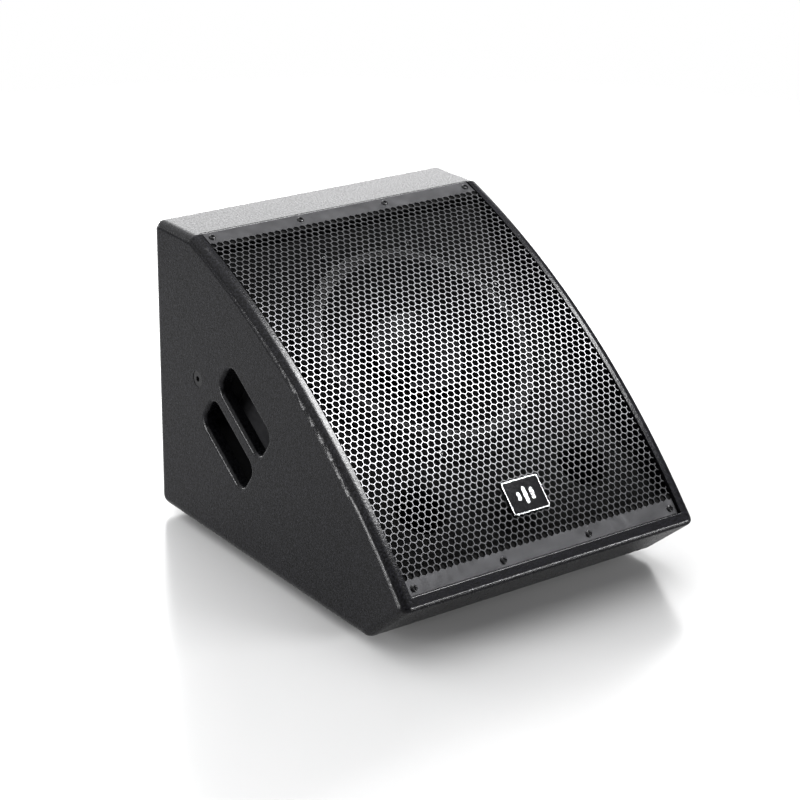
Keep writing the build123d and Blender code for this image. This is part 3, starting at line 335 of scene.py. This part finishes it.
def paint_cad_nodes():
    """Gives every carried-over CAD node its finish."""
    paint(cabinet_coat(), "side_panel_left", "side_panel_right", "top_panel", "rear_panel", "bottom_panel",
          "toe_panel")
    paint(matt_black("baffle_paint", shade=0.003), "baffle", "cleat_low", "cleat_high", "port_tube_left",
          "port_tube_right")
    paint(batten_wood(), "amp_battens")
    paint(dark_coat("pocket_plastic", colour=(0.02, 0.02, 0.022), roughness=0.42), "handle_pocket")
    paint(dark_coat("socket_steel", colour=(0.02, 0.02, 0.021), roughness=0.35), "pole_socket")
    paint(smooth_metal("zinc_steel", colour=(0.62, 0.6, 0.55), roughness=0.3), "threaded_inserts",
          "foot_screws")
    paint(dark_coat("black_screw", colour=(0.007, 0.007, 0.008), roughness=0.3), "rigging_screws",
          "grille_screws", "driver_screws", "amp_screws")
    paint(dark_coat("badge_black", colour=(0.006, 0.006, 0.007), roughness=0.16, grain_size=0.003,
                    depth=0.00001), "badge_plate")
    paint(smooth_metal("badge_metal", colour=(0.78, 0.79, 0.81), roughness=0.22), "badge_trim")
    paint(matt_black("basket_cast", shade=0.003), "basket", "compression_driver")
    paint(rubber(), "foot_back_left", "foot_back_right", "foot_front_left", "foot_front_right")
    paint(matt_black("gasket_felt", shade=0.002), "gasket")
    paint(woven("foam_roll", colour=(0.002, 0.002, 0.0023), size=0.0012, depth=0.0002), "roll")
    paint(cone_paper(), "cone")
    paint(smooth_metal("copper_coil", colour=(0.72, 0.38, 0.2), roughness=0.35), "voice_coil", "transformer")
    paint(woven("spider_cloth", colour=(0.42, 0.26, 0.1), size=0.0012, depth=0.0003), "spider")
    paint(smooth_metal("plate_steel", colour=(0.36, 0.36, 0.37), roughness=0.35), "top_plate", "back_plate")
    paint(dark_coat("ferrite", colour=(0.03, 0.03, 0.033), roughness=0.55, grain_size=0.001, depth=0.0001),
          "magnet")
    paint(dark_coat("horn_plastic", colour=(0.018, 0.018, 0.02), roughness=0.35), "horn")
    paint(dark_coat("amp_panel", colour=(0.03, 0.03, 0.033), roughness=0.42, grain_size=0.0012,
                    depth=0.00012), "amp_plate")
    paint(dark_coat("sink_anodised", colour=(0.04, 0.04, 0.043), roughness=0.38), "heat_sink")
    paint(smooth_metal("connector_metal", colour=(0.2, 0.2, 0.205), roughness=0.36), "xlr_input",
          "xlr_output", "input_latch")
    paint(dark_coat("connector_plastic", colour=(0.012, 0.012, 0.013), roughness=0.42), "power_inlet",
          "fuse_holder", "fuse_drawer", "rocker_frame", "potentiometers", "switch_bodies")
    paint(dark_coat("knob_plastic", colour=(0.035, 0.035, 0.037), roughness=0.5), "level_knob", "low_knob",
          "high_knob", "ground_button", "gain_switch")
    paint(dark_coat("rocker_plastic", colour=(0.012, 0.012, 0.012), roughness=0.2, grain_size=0.004,
                    depth=0.00001), "rocker")
    paint(lamp_lens(), "indicators")
    paint(circuit_board(), "main_board")
    paint(smooth_metal("capacitor", colour=(0.16, 0.17, 0.22), roughness=0.4), "power_stage")
    paint(woven("felt", colour=(0.3, 0.3, 0.31), size=0.0015, depth=0.0004), "lining")


# ---------------------------------------------------------------------------- grille
def mesh_object(name, bm, material):
    mesh = bpy.data.meshes.new(name)
    bm.to_mesh(mesh)
    bm.free()
    obj = bpy.data.objects.new(name, mesh)
    bpy.context.scene.collection.objects.link(obj)
    mesh.materials.append(material)
    return obj


def grille_ends():
    """Angles of the grille's lower and upper ends about the front's axis."""
    low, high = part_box("grille")
    low_angle = asin((low[2] - FRONT_AXIS_Z) / (GRILLE_RADIUS - GRILLE_SHEET))
    high_angle = asin((high[2] - FRONT_AXIS_Z) / GRILLE_RADIUS)
    return low_angle, high_angle


def hexagon(centre, size):
    """Corners of a hexagon standing on a point."""
    return [(centre[0] + size * sin(i * pi / 3), centre[1] + size * cos(i * pi / 3)) for i in range(6)]


class Sheet:
    """The perforated sheet, drawn flat as (across, along, depth) and sharing its corners."""

    def __init__(self):
        self.bm = bmesh.new()
        self.corners = {}

    def vertex(self, point, depth):
        key = tuple(round(value * MERGE_STEPS) for value in (point[0], point[1], depth))
        if key not in self.corners:
            self.corners[key] = self.bm.verts.new((point[0], point[1], -depth))
        return self.corners[key]

    def face(self, *places):
        self.bm.faces.new([self.vertex(point, depth) for point, depth in places])

    def hole(self, centre, cell, opening):
        """One hole with its share of the web, front, rim, wall and back."""
        outer = hexagon(centre, cell)
        rim = hexagon(centre, opening + HOLE_EASE)
        wall = hexagon(centre, opening)
        for i in range(6):
            j = (i + 1) % 6
            self.face((outer[j], 0), (outer[i], 0), (rim[i], 0), (rim[j], 0))
            self.face((rim[j], 0), (rim[i], 0), (wall[i], HOLE_EASE), (wall[j], HOLE_EASE))
            self.face((wall[j], HOLE_EASE), (wall[i], HOLE_EASE), (wall[i], GRILLE_SHEET),
                      (wall[j], GRILLE_SHEET))
            self.face((wall[j], GRILLE_SHEET), (wall[i], GRILLE_SHEET), (outer[i], GRILLE_SHEET),
                      (outer[j], GRILLE_SHEET))

    def margin(self, edge, end):
        """The plain strip between the holes' outline and one end of the sheet."""
        up = 1 if end > edge[0][1] else -1
        for a, b in zip(edge, edge[1:]):
            if up < 0:
                a, b = b, a
            far_a, far_b = (a[0], end), (b[0], end)
            self.face((a, 0), (b, 0), (far_b, 0), (far_a, 0))
            self.face((far_a, GRILLE_SHEET), (far_b, GRILLE_SHEET), (b, GRILLE_SHEET), (a, GRILLE_SHEET))
            self.face((far_a, 0), (far_b, 0), (far_b, GRILLE_SHEET), (far_a, GRILLE_SHEET))


def flat_sheet(length, half_width):
    """The sheet before it is bent, with every hole and a little wider than the grille."""
    row_step = (length - LOW_MARGIN - HIGH_MARGIN) / (HOLE_ROWS - 1)
    pitch = row_step / sin(pi / 3)
    cell = pitch / sqrt(3)
    opening = (pitch - WEB) / sqrt(3)
    count = ceil(half_width / pitch) + 1

    def columns(row):
        shift = PATTERN_SHIFT + (0 if row % 2 else pitch / 2)
        return [i * pitch + shift for i in range(-count, count + 1)]

    sheet = Sheet()
    for row in range(HOLE_ROWS):
        for across in columns(row):
            sheet.hole((across, LOW_MARGIN + row * row_step), cell, opening)
    for row, end, side in ((0, 0.0, -1), (HOLE_ROWS - 1, length, 1)):
        along = LOW_MARGIN + row * row_step
        edge = []
        for across in columns(row):
            edge.append((across - pitch / 2, along + side * cell / 2))
            edge.append((across, along + side * cell))
        edge.append((across + pitch / 2, along + side * cell / 2))
        sheet.margin(edge, end)
    return sheet.bm


def cut_to_width(bm, half_width):
    """Cuts both long sides straight through the holes and closes the cut webs."""
    for side in (-1, 1):
        everything = bm.verts[:] + bm.edges[:] + bm.faces[:]
        cut = bmesh.ops.bisect_plane(bm, geom=everything, plane_co=(side * half_width, 0, 0),
                                     plane_no=(side, 0, 0), clear_outer=True)
        rim = [e for e in cut["geom_cut"] if isinstance(e, bmesh.types.BMEdge)]
        bmesh.ops.holes_fill(bm, edges=rim, sides=0)


def bend(bm, low_angle):
    """Bends the flat sheet round the front's axis."""
    for vertex in bm.verts:
        angle = low_angle + vertex.co.y / GRILLE_RADIUS
        radius = GRILLE_RADIUS + vertex.co.z
        vertex.co = (vertex.co.x, FRONT_AXIS_Y - radius * cos(angle), FRONT_AXIS_Z + radius * sin(angle))


def perforated_grille():
    """The grille with every hole, bent to the front's arc and cut to width through the holes."""
    low_angle, high_angle = grille_ends()
    length = (high_angle - low_angle) * GRILLE_RADIUS
    half_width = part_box("grille")[1][0]
    bm = flat_sheet(length, half_width)
    cut_to_width(bm, half_width)
    bend(bm, low_angle)
    bmesh.ops.recalc_face_normals(bm, faces=bm.faces[:])

    piece = mesh_object("perforated_grille", bm, grille_coat())
    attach(piece, "cabinet")
    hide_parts("grille")


# ---------------------------------------------------------------------------- stage
def area_light(name, place, target, size, power):
    light = bpy.data.lights.new(name, "AREA")
    light.shape = "RECTANGLE"
    light.size, light.size_y = size
    light.energy = power
    obj = bpy.data.objects.new(name, light)
    obj.location = place
    obj.rotation_euler = (Vector(target) - Vector(place)).to_track_quat("-Z", "Y").to_euler()
    obj.visible_camera = False
    bpy.context.scene.collection.objects.link(obj)
    return obj


def pale_floor():
    """A pale satin floor that fades into the backing away from the object."""
    bpy.ops.mesh.primitive_plane_add(size=FLOOR_SIZE)
    floor = bpy.context.object
    floor.name = "floor"
    m = Material("pale_floor")
    m.colour(m.mix(m.noise(size=0.8, detail=2.0), *FLOOR_SHADES))
    m.set("Roughness", 0.2)
    m.set("Specular IOR Level", 0.4)
    m.links.new(m.ramp(m.distance(), FLOOR_FADE_FROM, FLOOR_FADE_TO, 1.0, 0.0), m.shader.inputs["Alpha"])
    floor.data.materials.append(m.material)
    return floor


def surroundings():
    """A dim white room with a bright backing."""
    world = bpy.data.worlds.new("studio")
    world.use_nodes = True
    nodes, links = world.node_tree.nodes, world.node_tree.links
    nodes["Background"].inputs["Color"].default_value = (1, 1, 1, 1)
    strength = nodes.new("ShaderNodeMapRange")
    strength.inputs["To Min"].default_value = SURROUNDINGS
    strength.inputs["To Max"].default_value = BACKING
    links.new(nodes.new("ShaderNodeLightPath").outputs["Is Camera Ray"], strength.inputs["Value"])
    links.new(strength.outputs["Result"], nodes["Background"].inputs["Strength"])
    bpy.context.scene.world = world
    bpy.context.scene.view_settings.view_transform = "Standard"
    bpy.context.scene.view_settings.gamma = VIEW_GAMMA


def studio():
    """The floor, the room and the soft boxes."""
    floor = pale_floor()
    surroundings()
    flag = bpy.data.collections.new("flagged_floor")
    flag.objects.link(floor)
    flag.collection_objects[0].light_linking.link_state = "EXCLUDE"
    for name, box in SOFT_BOXES.items():
        light = area_light(name, box["place"], box["target"], box["size"], box["power"])
        if box.get("flagged"):
            light.light_linking.receiver_collection = flag


def camera():
    """The camera at the chosen viewing angle, turned a little about its own axis."""
    data = bpy.data.cameras.new("camera")
    data.lens = LENS
    data.sensor_width = SENSOR
    obj = bpy.data.objects.new("camera", data)
    forward = Vector((
        sin(CAMERA_AZIMUTH) * cos(CAMERA_ELEVATION),
        cos(CAMERA_AZIMUTH) * cos(CAMERA_ELEVATION),
        -sin(CAMERA_ELEVATION),
    ))
    place = Matrix.Translation(AIM - CAMERA_DISTANCE * forward)
    turn = forward.to_track_quat("-Z", "Y").to_matrix().to_4x4()
    obj.matrix_world = place @ turn @ Matrix.Rotation(CAMERA_ROLL, 4, "Z")
    bpy.context.scene.collection.objects.link(obj)
    bpy.context.scene.camera = obj


paint_cad_nodes()
perforated_grille()
studio()
camera()
